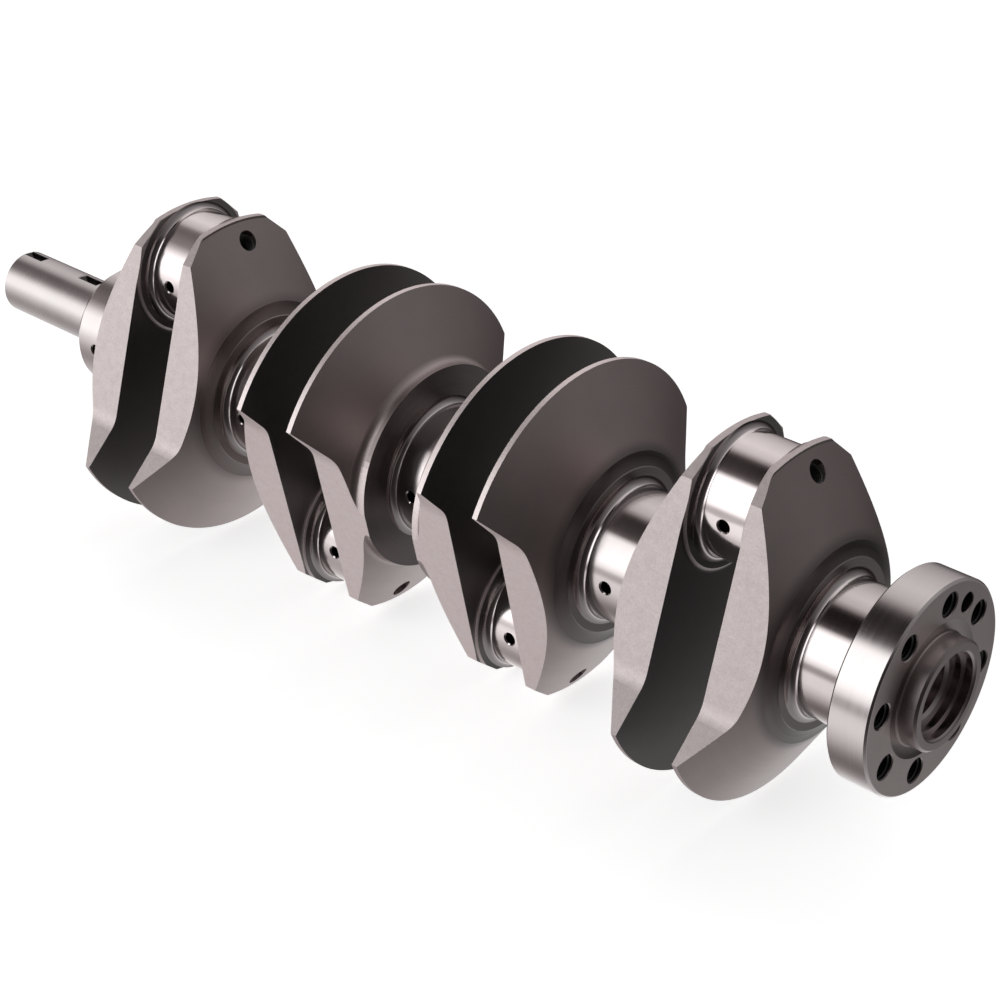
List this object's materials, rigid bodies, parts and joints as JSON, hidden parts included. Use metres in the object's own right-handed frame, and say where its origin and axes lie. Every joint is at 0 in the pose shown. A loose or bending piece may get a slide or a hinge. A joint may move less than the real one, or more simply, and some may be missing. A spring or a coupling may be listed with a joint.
{
  "type": "crankshaft",
  "caption": "Crankshaft of an in-line engine: keyed nose, ground journals and crankpins between turned counterweighted webs, and a bolted rear flange.",
  "frame": {"origin": "on the main axis in the plane of the flywheel mounting face", "axes": "+X along the main axis out of the flywheel flange, -X toward the nose; +Z from the main axis toward crankpins 1 and 4; the oil holes of the journals open toward -Y"},
  "size_m": [0.5195, 0.1304, 0.1496],
  "materials": {
    "web_steel": "satin, turned faces, nitrided warm grey",
    "main_journal_steel": "ground and polished",
    "crankpin_steel": "ground and polished",
    "nose_steel": "finely ground",
    "flange_steel": "turned face, ground rim",
    "plug_steel": "dull pressed steel"
  },
  "bodies": {
    "root": {"nose": "nose_steel", "main_journal_1": "main_journal_steel", "main_journal_2": "main_journal_steel", "main_journal_3": "main_journal_steel", "main_journal_4": "main_journal_steel", "main_journal_5": "main_journal_steel", "crankpin_1": "crankpin_steel", "crankpin_2": "crankpin_steel", "crankpin_3": "crankpin_steel", "crankpin_4": "crankpin_steel", "web_1": "web_steel", "web_2": "web_steel", "web_3": "web_steel", "web_4": "web_steel", "web_5": "web_steel", "web_6": "web_steel", "web_7": "web_steel", "web_8": "web_steel", "gallery_plug_1": "plug_steel", "gallery_plug_2": "plug_steel", "gallery_plug_3": "plug_steel", "gallery_plug_4": "plug_steel", "rear_flange": "flange_steel"}
  },
  "joints": []
}
